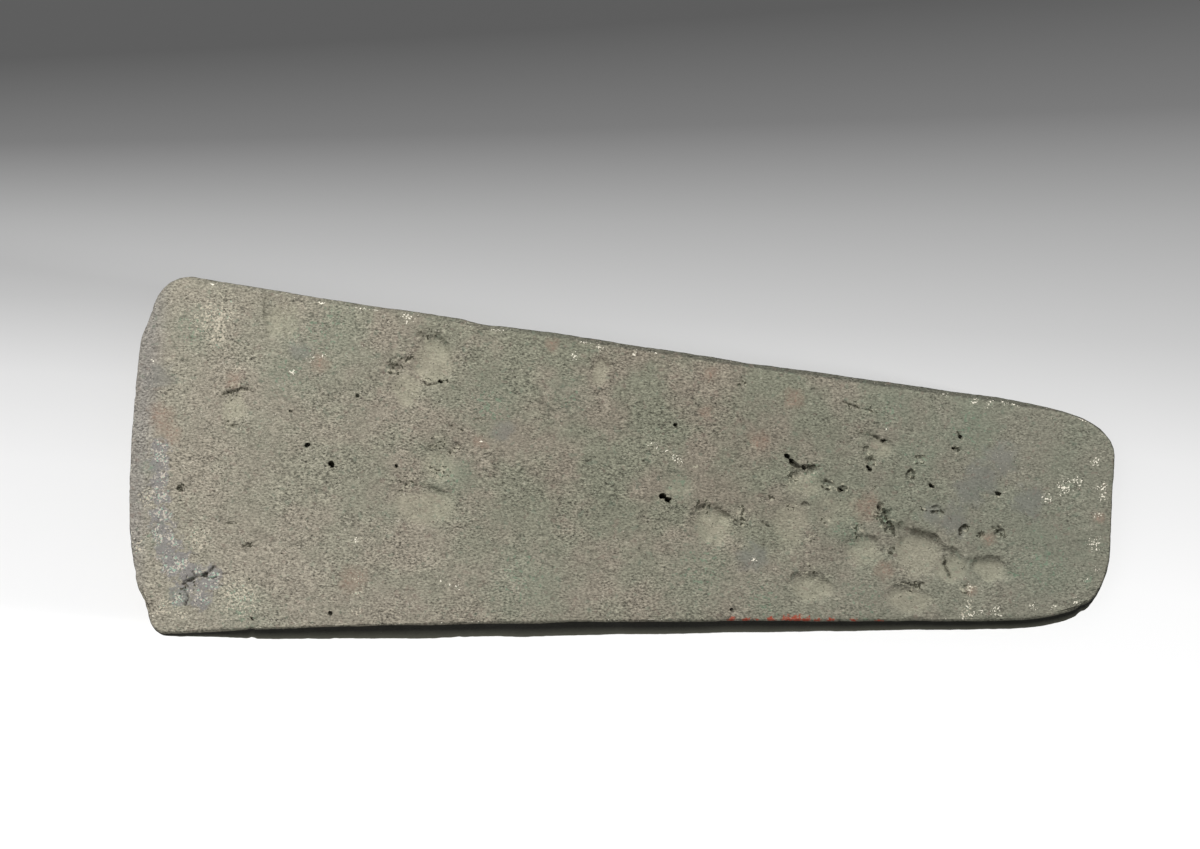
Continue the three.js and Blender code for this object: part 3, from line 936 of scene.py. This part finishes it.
def shader_group(name, sizes, results):
    """A shader node group that is given a vector and named numbers and has named results."""
    tree = bpy.data.node_groups.new(name, "ShaderNodeTree")
    tree.interface.new_socket("Vector", in_out="INPUT", socket_type="NodeSocketVector")
    for title, value in sizes.items():
        socket = tree.interface.new_socket(title, in_out="INPUT", socket_type="NodeSocketFloat")
        socket.default_value = value
    for title in results:
        tree.interface.new_socket(title, in_out="OUTPUT", socket_type="NodeSocketFloat")
    given, result = tree.nodes.new("NodeGroupInput"), tree.nodes.new("NodeGroupOutput")
    return tree, given.outputs, result.inputs


def use_group(group, place, **inputs):
    """The outputs of a group that reads the given place."""
    made = node(place.id_data, "ShaderNodeGroup", node_tree=group)
    join(place, made.inputs["Vector"])
    for key, value in inputs.items():
        join(value, made.inputs[key])
    return made.outputs


def specks_group():
    """Scattered specks of ragged shape. An amount of 0 gives none, and 1 covers half the skin."""
    tree, given, result = shader_group("specks", {"Size": 0.5 * MM, "Amount": 0.2}, ["Mask"])
    cloud = noise_cloud(given["Vector"], over(1.0, given["Size"]), 1.0, 0.5)
    none_above, half_above = 0.83, 0.49
    low = minus(none_above, times(given["Amount"], none_above - half_above))
    join(ramped(cloud, low, plus(low, 0.05)), result["Mask"])
    return tree


def broken_patch_group():
    """Breaks a soft mask up into a patch with a ragged border."""
    sizes = {"Mask": 0.0, "Grain": MM, "Raggedness": 1.0, "Softness": 0.5}
    tree, given, result = shader_group("broken patch", sizes, ["Mask"])
    ragged = minus(noise_cloud(given["Vector"], over(1.0, given["Grain"]), 3.0, 0.65), 0.5)
    total = plus(given["Mask"], times(ragged, given["Raggedness"]))
    half = times(given["Softness"], 0.5)
    shape = ramped(total, minus(0.5, half), plus(0.5, half))
    inside = ramped(given["Mask"], 0.0, 0.12)
    join(times(shape, inside), result["Mask"])
    return tree


def sandy_grain_group():
    """The sandy crust: a tone about 0 and a height, from grains drawn out along the axe."""
    sizes = {"Grain": 0.4 * MM, "Drawn Out": 0.6}
    tree, given, result = shader_group("sandy grain", sizes, ["Tone", "Height"])
    stretch = node(tree, "ShaderNodeCombineXYZ", {0: given["Drawn Out"], 1: 1.0, 2: 1.0}).outputs[0]
    drawn = node(tree, "ShaderNodeVectorMath", {0: given["Vector"], 1: stretch},
                 operation="MULTIPLY").outputs[0]
    scale = over(1.0, given["Grain"])
    fine = minus(noise_cloud(drawn, scale, 1.0, 0.6), 0.5)
    coarse = minus(noise_cloud(drawn, times(scale, 0.3), 1.0, 0.6), 0.5)
    both = plus(fine, times(coarse, 0.22))
    domes = node(tree, "ShaderNodeTexVoronoi", {"Vector": drawn, "Scale": scale}).outputs["Distance"]
    join(times(both, 2.0), result["Tone"])
    join(minus(both, times(domes, 0.4)), result["Height"])
    return tree


def rgb(shade):
    """A linear colour from the 0 to 255 values of a picture."""
    def linear(value):
        share = value / 255
        return share / 12.92 if share <= 0.04045 else ((share + 0.055) / 1.055) ** 2.4
    return (*map(linear, shade), 1.0)


# The finish of the bronze

class CrustPaint:
    """The finish in the making: its node tree, and the colour that has been laid on so far."""

    def __init__(self, tree):
        self.tree, self.colour = tree, None
        self.specks, self.broken = specks_group(), broken_patch_group()
        self.place = node(tree, "ShaderNodeTexCoord").outputs["Object"]
        parts = node(tree, "ShaderNodeSeparateXYZ", {0: self.place})
        self.along, self.across = parts.outputs[0], parts.outputs[1]
        self.towards_butt = ramped(self.along, 10 * MM, 70 * MM)

    def mask(self, name):
        return node(self.tree, "ShaderNodeAttribute", attribute_name=name).outputs["Fac"]

    def shifted(self, shift):
        inputs = {"Vector": self.place, "Location": (shift, shift, shift)}
        return node(self.tree, "ShaderNodeMapping", inputs).outputs[0]

    def cloud(self, size, shift, detail=3.0):
        return noise_cloud(self.shifted(shift), 1 / (size * MM), detail, 0.55)

    def lay(self, amount, shade):
        self.colour = mix_colour(amount, self.colour, rgb(shade))

    def patch(self, name, shade, grain, strength, raggedness, softness):
        """Lays a shade on where a mask is, with a border that the grain, in millimetres, breaks."""
        shape = use_group(self.broken, self.place, Mask=self.mask(name), Grain=grain * MM,
                          Raggedness=raggedness, Softness=softness)[0]
        self.lay(times(shape, strength), shade)
        return shape

    def speckle(self, size, amount, shade, strength, shift):
        """Lays specks on, of a size in millimetres. Each shift gives specks of its own."""
        dots = use_group(self.specks, self.shifted(shift), Size=size * MM, Amount=amount)[0]
        self.lay(times(dots, strength), shade)
        return dots


def lay_broad_shades(paint):
    """Clouds of grey-green and warm grey-brown, paler towards the blade and the lower side."""
    warm = ramped(paint.cloud(9, 0.3), 0.4, 0.62)
    paint.colour = mix_colour(warm, rgb(crust_green), rgb(crust_brown))
    mossy = ramped(paint.cloud(5, 0.7, detail=4.0), 0.5, 0.72)
    paint.lay(times(mossy, 0.3), crust_moss)
    paint.lay(times(paint.towards_butt, 0.6), crust_butt)
    pale = ramped(paint.along, 20 * MM, -76 * MM, smooth=False)
    paint.lay(times(times(pale, pale), 0.75), crust_pale)
    lower_part = ramped(paint.across, -3 * MM, -18 * MM)
    paint.lay(times(lower_part, minus(0.3, times(paint.towards_butt, 0.15))), crust_pale)
    cutting_edge = ramped(paint.along, -74.5 * MM, -78.5 * MM)
    paint.lay(times(cutting_edge, 0.5), worn_skin)


def lay_worn_and_shaded_places(paint):
    """The worn band and the smooth patches, the paler floors of the hollows with a painted highlight,
    and painted shade on the upper and lower rims. Gives back where the skin is worn, smooth, and a
    hollow's floor."""
    worn = paint.patch("worn_band", worn_skin, 1.2, 0.75, 2.4, 0.5)
    smooth = larger(worn, paint.patch("smooth", worn_grey, 1.8, 0.42, 2.0, 0.9))
    quiet = minus(0.58, times(paint.towards_butt, 0.16))
    # Paler crust on the hollows' floors, also a painted highlight.
    floor = paint.patch("hollow_floor", smooth_lit_hollow_grey, 1.6, quiet, 0.8, 0.8)
    # Painted shade on the upper rim.
    rim_shade_strength = ramped(paint.along, -60 * MM, 20 * MM, 0.35, 0.85)
    paint.patch("shaded_upper_rim", upper_rim_shade, 1.2, rim_shade_strength, 0.8, 0.7)
    # Painted shade on the lower rim.
    paint.patch("shaded_lower_rim", lower_rim_shade, 0.9, 0.6, 1.0, 0.9)
    return worn, smooth, floor


def lay_grain(paint, smooth, floor):
    """Sandy grain, weaker where the crust is smooth. Gives back its height and its liveliness."""
    sandy = use_group(sandy_grain_group(), paint.place, Grain=grain_size * MM)
    calm = larger(smooth, times(floor, 0.8))
    uneven = ramped(paint.cloud(6, 0.45), 0.35, 0.65, 0.75, 1.3)
    lively = times(minus(1.0, times(calm, 0.6)), uneven)
    lively = times(lively, minus(1.0, times(paint.towards_butt, 0.22)))
    gain = plus(times(times(sandy["Tone"], lively), grain_contrast), 1.0)
    tint = node(paint.tree, "ShaderNodeCombineColor", {0: gain, 1: gain, 2: gain}).outputs[0]
    paint.colour = mix_colour(1.0, paint.colour, tint, "MULTIPLY")
    return sandy["Height"], lively


def lay_stains_and_flecks(paint, worn):
    towards_blade = ramped(paint.along, 0.0, -70 * MM)
    paint.speckle(1.1, 0.5, brown_grain, 0.3, 0.11)
    paint.speckle(1.1, 0.5, green_grain, 0.3, 0.23)
    paint.speckle(0.32, 0.46, dark_grain, 0.7, 0.37)
    paint.speckle(0.3, plus(0.4, times(towards_blade, 0.15)), pale_grain, 0.55, 0.41)
    paint.patch("green", green_stain, 2.0, 0.17, 1.4, 0.9)
    paint.speckle(0.6, times(paint.mask("green"), 0.75), green_fleck, 0.4, 0.47)
    paint.patch("rust", rust_stain, 1.3, 0.35, 1.6, 0.9)
    paint.speckle(0.5, times(paint.mask("rust"), 0.8), rust_fleck, 0.35, 0.59)
    cream = paint.mask("cream")
    paint.speckle(0.36, times(cream, 0.9), cream_fleck, 0.65, 0.61)
    flecks = times(worn, ramped(paint.cloud(2.5, 0.33), 0.42, 0.56))
    paint.speckle(0.34, times(flecks, 0.95), worn_fleck, 0.72, 0.87)
    paint.speckle(0.38, larger(times(flecks, 0.75), times(cream, 0.5)), verdigris_fleck, 0.6, 0.91)


def lay_crumbs_and_wall_shade(paint):
    """Crumbled spots with dark and pale crumbs side by side, and painted shade on the walls of the
    hollows, ledges and dents.
    """
    crumbling = times(paint.mask("crumbled"), 1.7, clamp=True)
    paint.speckle(0.55, times(crumbling, 0.7), pale_crumb, 0.55, 0.67)
    paint.speckle(0.65, times(crumbling, 0.72), dark_crumb, 0.8, 0.71)
    # Painted shade on the walls of the hollows and ledges, in crumbly flecks.
    paint.patch("shaded_hollow_wall", hollow_wall_shade, 0.9, 0.4, 1.2, 0.9)
    paint.speckle(0.42, times(paint.mask("shaded_hollow_wall"), 0.85), hollow_wall_shade_fleck, 0.7, 0.79)


def lay_side_shade_and_rim(paint):
    """Painted shade, near black, on the smoother narrow sides, with painted bounce light at their foot;
    pale grains with a painted glint in clusters on the rim, and the red flecks of copper oxide. Gives
    back the sides and the pale grains."""
    side = paint.mask("side")
    # Painted shade on the sides, lifted at the foot by painted bounce light.
    skin = mix_colour(paint.mask("bounce_lit_side_foot"), rgb(side_shade_black), rgb(side_foot_bounce_light))
    paint.colour = mix_colour(times(side, 0.95), paint.colour, skin)
    # Painted glints on pale grains, clustered along the rim's edge and at the sparkle patches.
    clustered = ramped(paint.cloud(3.5, 0.2), 0.5, 0.66)
    amount = larger(times(paint.mask("rim_edge"), clustered), times(paint.mask("sparkle"), 0.9))
    sparkles = paint.speckle(0.3, amount, painted_glint_white, 0.75, 0.53)
    paint.patch("copper_red", copper_red, 0.5, 0.8, 2.4, 0.4)
    return side, sparkles


def lay_opening_shade(paint):
    """Painted shade in the pits and cracks: near black in the pits with an olive border, thinner and
    browner in the cracks, broken by the grain.
    """
    ragged = minus(noise_cloud(paint.place, 1 / (0.3 * MM), 2.0, 0.6), 0.5)
    for name, raggedness, border, border_strength, strength in (
        ("crack_away", 0.4, 0.18, 0.45, 0.66),
        ("hole_away", 0.85, 0.26, 0.6, 0.92),
    ):
        away = plus(paint.mask(name), times(ragged, raggedness))
        paint.lay(times(ramped(away, border, 0.0), border_strength), pit_border_shade)
        paint.lay(times(ramped(away, 0.04, -0.04), strength), pit_shade_black)


def new_material(name):
    material = bpy.data.materials.new(name)
    material.use_nodes = True
    return material, material.node_tree


def corroded_bronze():
    material, tree = new_material("corroded_bronze")
    tree.nodes.clear()
    paint = CrustPaint(tree)
    lay_broad_shades(paint)
    worn, smooth, floor = lay_worn_and_shaded_places(paint)
    grain_height, lively = lay_grain(paint, smooth, floor)
    lay_stains_and_flecks(paint, worn)
    lay_crumbs_and_wall_shade(paint)
    side, sparkles = lay_side_shade_and_rim(paint)
    lay_opening_shade(paint)

    # Relief of the grain, deeper in the crust than on the smooth patches.
    crumbs = times(paint.cloud(0.9, 0.9, detail=2.0), 0.6)
    height = times(plus(grain_height, crumbs), lively)
    bump = node(tree, "ShaderNodeBump", {"Height": height, "Strength": 1.0,
                                         "Distance": grain_depth * MM})
    rough = minus(minus(crust_roughness, times(smooth, 0.16)), times(sparkles, 0.3))
    shader = node(tree, "ShaderNodeBsdfPrincipled",
                  {"Base Color": paint.colour, "Roughness": larger(rough, side),
                   "Normal": bump.outputs[0], "Specular IOR Level": crust_specular})
    join(shader.outputs[0], node(tree, "ShaderNodeOutputMaterial").inputs[0])
    return material


def paper_with_painted_falloff():
    """Matte paper with a painted falloff of light: white in front of the axe and shaded to grey behind
    it.
    """
    material, tree = new_material("paper_with_painted_falloff")
    place = node(tree, "ShaderNodeTexCoord").outputs["Object"]
    turned = node(tree, "ShaderNodeMapping", {"Vector": place, "Rotation": (0, 0, -camera_roll)})
    parts = node(tree, "ShaderNodeSeparateXYZ", {0: turned.outputs[0]})
    steepness = minus(1.0, times(parts.outputs[0], shade_spread))
    away = times(minus(parts.outputs[1], shade_pivot * MM), steepness)
    first, last = painted_falloff_shades[0][0], painted_falloff_shades[-1][0]
    share = ramped(plus(away, shade_pivot * MM), first * MM, last * MM, smooth=False)
    ramp = node(tree, "ShaderNodeValToRGB", {0: share})
    stops = ramp.color_ramp.elements
    for position, value in painted_falloff_shades[1:-1]:
        stops.new((position - first) / (last - first))
    for stop, (position, value) in zip(stops, painted_falloff_shades):
        stop.color = (value, value, value, 1)
    shader = tree.nodes["Principled BSDF"]
    join(ramp.outputs[0], shader.inputs["Base Color"])
    shader.inputs["Roughness"].default_value = 0.9
    shader.inputs["Specular IOR Level"].default_value = 0.1
    return material


# The crust: relief too fine to place by hand, made by a node tree

def crust_tree():
    """A geometry tree that eats a skin with broad waves, a crumbly crust and small pocks."""
    tree = bpy.data.node_groups.new("crust", "GeometryNodeTree")
    face = tree.interface
    face.new_socket("Geometry", in_out="INPUT", socket_type="NodeSocketGeometry")
    for title, value in (
        ("Wave Size", 11 * MM), ("Wave Depth", 0.25 * MM), ("Crumb Size", 1.3 * MM),
        ("Crumb Depth", 0.09 * MM), ("Pock Spacing", 2.2 * MM), ("Pock Depth", 0.12 * MM),
        ("Seed", 4.0),
    ):
        face.new_socket(title, in_out="INPUT", socket_type="NodeSocketFloat").default_value = value
    face.new_socket("Finish", in_out="INPUT", socket_type="NodeSocketMaterial")
    face.new_socket("Geometry", in_out="OUTPUT", socket_type="NodeSocketGeometry")
    given, result = tree.nodes.new("NodeGroupInput").outputs, tree.nodes.new("NodeGroupOutput")
    here = node(tree, "GeometryNodeInputPosition").outputs[0]
    outwards = node(tree, "GeometryNodeInputNormal").outputs[0]
    shift = node(tree, "ShaderNodeCombineXYZ", {0: given["Seed"], 1: given["Seed"]}).outputs[0]

    def scaled(size):
        parted = node(tree, "ShaderNodeVectorMath", {0: here, 3: over(1.0, size)}, operation="SCALE")
        return node(tree, "ShaderNodeVectorMath", {0: parted.outputs[0], 1: shift},
                    operation="ADD").outputs[0]

    def eaten(name, detail):
        cloud = noise_cloud(scaled(given[name + " Size"]), 1.0, detail, 0.6)
        return times(ramped(cloud, 0.3, 0.7, smooth=False), given[name + " Depth"])

    def mask(name):
        return node(tree, "GeometryNodeInputNamedAttribute", {"Name": name},
                    data_type="FLOAT").outputs[0]

    spots = {"Vector": scaled(given["Pock Spacing"]), "Scale": 1.0}
    cells = node(tree, "ShaderNodeTexVoronoi", spots).outputs
    picked = node(tree, "FunctionNodeSeparateColor", {"Color": cells["Color"]}).outputs[0]
    pocks = times(ramped(cells["Distance"], times(picked, 0.42), 0.0), given["Pock Depth"])
    calm = larger(larger(mask("smooth"), mask("hollow_floor")), mask("worn_band"))
    lively = plus(minus(1.0, times(calm, 0.7)), times(mask("crumbled"), 1.5))
    depth = plus(times(plus(eaten("Crumb", 3.0), pocks), lively), eaten("Wave", 1.0))
    push = node(tree, "ShaderNodeVectorMath", {0: outwards, 3: times(depth, -1.0)}, operation="SCALE")
    moved = node(tree, "GeometryNodeSetPosition",
                 {"Geometry": given["Geometry"], "Offset": push.outputs[0]})
    real = node(tree, "GeometryNodeRealizeInstances", {0: moved.outputs[0]})
    dressed = node(tree, "GeometryNodeSetMaterial",
                   {"Geometry": real.outputs[0], "Material": given["Finish"]})
    join(dressed.outputs[0], result.inputs[0])
    return tree


def plain_mesh(piece, name):
    """The piece's modifiers applied, as a new mesh without them."""
    evaluated = piece.evaluated_get(bpy.context.evaluated_depsgraph_get())
    mesh = bpy.data.meshes.new_from_object(evaluated)
    piece.modifiers.clear()
    piece.data = mesh
    mesh.name = name


def bronze_axe(finish):
    """The axe head, and how far it was moved so that it sits in the CAD node's box."""
    points, faces = smooth_axe()
    middle = (points.min(0) + points.max(0)) / 2
    mesh = bpy.data.meshes.new("axe_head_skin")
    mesh.from_pydata((points * MM).tolist(), [], faces)
    refine(mesh)
    corrode(mesh)
    low, high = (np.array(corner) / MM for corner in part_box("axe_head"))
    shift = ((low + high) / 2 - middle) * (1, 1, 0)
    mesh.transform(Matrix.Translation(shift * MM))
    mesh.materials.append(finish)
    piece = bpy.data.objects.new("corroded_axe_head", mesh)
    bpy.context.scene.collection.objects.link(piece)
    tree = crust_tree()
    crust = piece.modifiers.new("crust", "NODES")
    crust.node_group = tree
    finish_socket = next(item for item in tree.interface.items_tree if item.name == "Finish")
    crust[finish_socket.identifier] = finish
    plain_mesh(piece, "corroded_axe_head")
    piece.data.shade_smooth()
    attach(piece, "root")
    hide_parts("axe_head")
    return piece, Vector(shift)


# The stage

def camera_axes():
    """The camera's right, up and back. Up the picture is across the axe, and back is towards
    the viewer."""
    level = Vector((1, 0, 0))
    upward = Vector((0, math.cos(camera_tilt), math.sin(camera_tilt)))
    back = Vector((0, -math.sin(camera_tilt), math.cos(camera_tilt)))
    right = level * math.cos(camera_roll) + upward * math.sin(camera_roll)
    return right, upward * math.cos(camera_roll) - level * math.sin(camera_roll), back


def place_camera(axe_middle):
    right, up, back = camera_axes()
    across = (axe_middle_in_photo[0] - photo_width / 2) * photo_mm_per_pixel
    down = (axe_middle_in_photo[1] - photo_height / 2) * photo_mm_per_pixel
    middle = axe_middle + Vector((0, 0, axe_middle_height))
    target = middle - right * across + up * down
    data = bpy.data.cameras.new("camera")
    data.sensor_width = 36
    data.lens = data.sensor_width * camera_distance / (photo_width * photo_mm_per_pixel)
    data.clip_start, data.clip_end = 0.01, 20
    camera = bpy.data.objects.new("camera", data)
    turn = Matrix((right, up, back)).transposed().to_4x4()
    camera.matrix_world = Matrix.Translation((target + back * camera_distance) * MM) @ turn
    bpy.context.scene.collection.objects.link(camera)
    bpy.context.scene.camera = camera


def soft_light(name, place, size, power, only_on, shadows_of=None):
    """A square light that faces the axe. It lights one object only, and only the object given
    casts a shadow in it, or all where none is given."""
    data = bpy.data.lights.new(name, "AREA")
    data.shape, data.size, data.energy = "SQUARE", size, power
    light = bpy.data.objects.new(name, data)
    light.location = place
    light.rotation_euler = (-Vector(place)).to_track_quat("-Z", "Y").to_euler()
    bpy.context.scene.collection.objects.link(light)
    lit = bpy.data.collections.new(name + "_lit")
    lit.objects.link(only_on)
    light.light_linking.receiver_collection = lit
    if shadows_of:
        casting = bpy.data.collections.new(name + "_shadows")
        casting.objects.link(shadows_of)
        light.light_linking.blocker_collection = casting


def make_floor():
    mesh = bpy.data.meshes.new("floor")
    half = 1.5
    corners = [(-half, -half, 0), (half, -half, 0), (half, half, 0), (-half, half, 0)]
    mesh.from_pydata(corners, [], [(0, 1, 2, 3)])
    mesh.materials.append(paper_with_painted_falloff())
    floor = bpy.data.objects.new("floor", mesh)
    bpy.context.scene.collection.objects.link(floor)
    return floor


def light_studio(floor, axe):
    """The key light rakes over the axe from behind. The floor has its own lights: one from above
    in which the axe casts no shadow, and one from the right, whose shadow is short and soft."""
    soft_light("key", (-0.45, 1.9, 1.4), size=1.07, power=124.0, only_on=axe)
    soft_light("fill", (-0.3, -0.35, 0.6), size=0.5, power=3.35, only_on=axe)
    soft_light("floor_top", (-0.3, 0.0, 1.0), size=0.9, power=12.0, only_on=floor, shadows_of=floor)
    soft_light("floor_right", (1.45, -0.16, 0.22), size=0.22, power=26.0, only_on=floor)
    world = bpy.data.worlds.new("studio")
    world.use_nodes = True
    background = world.node_tree.nodes["Background"]
    background.inputs["Color"].default_value = (0.8, 0.8, 0.8, 1)
    background.inputs["Strength"].default_value = 0.2
    bpy.context.scene.world = world
    bpy.context.scene.view_settings.view_transform = "Standard"


axe, plan_shift = bronze_axe(corroded_bronze())
place_camera(plan_shift)
light_studio(make_floor(), axe)
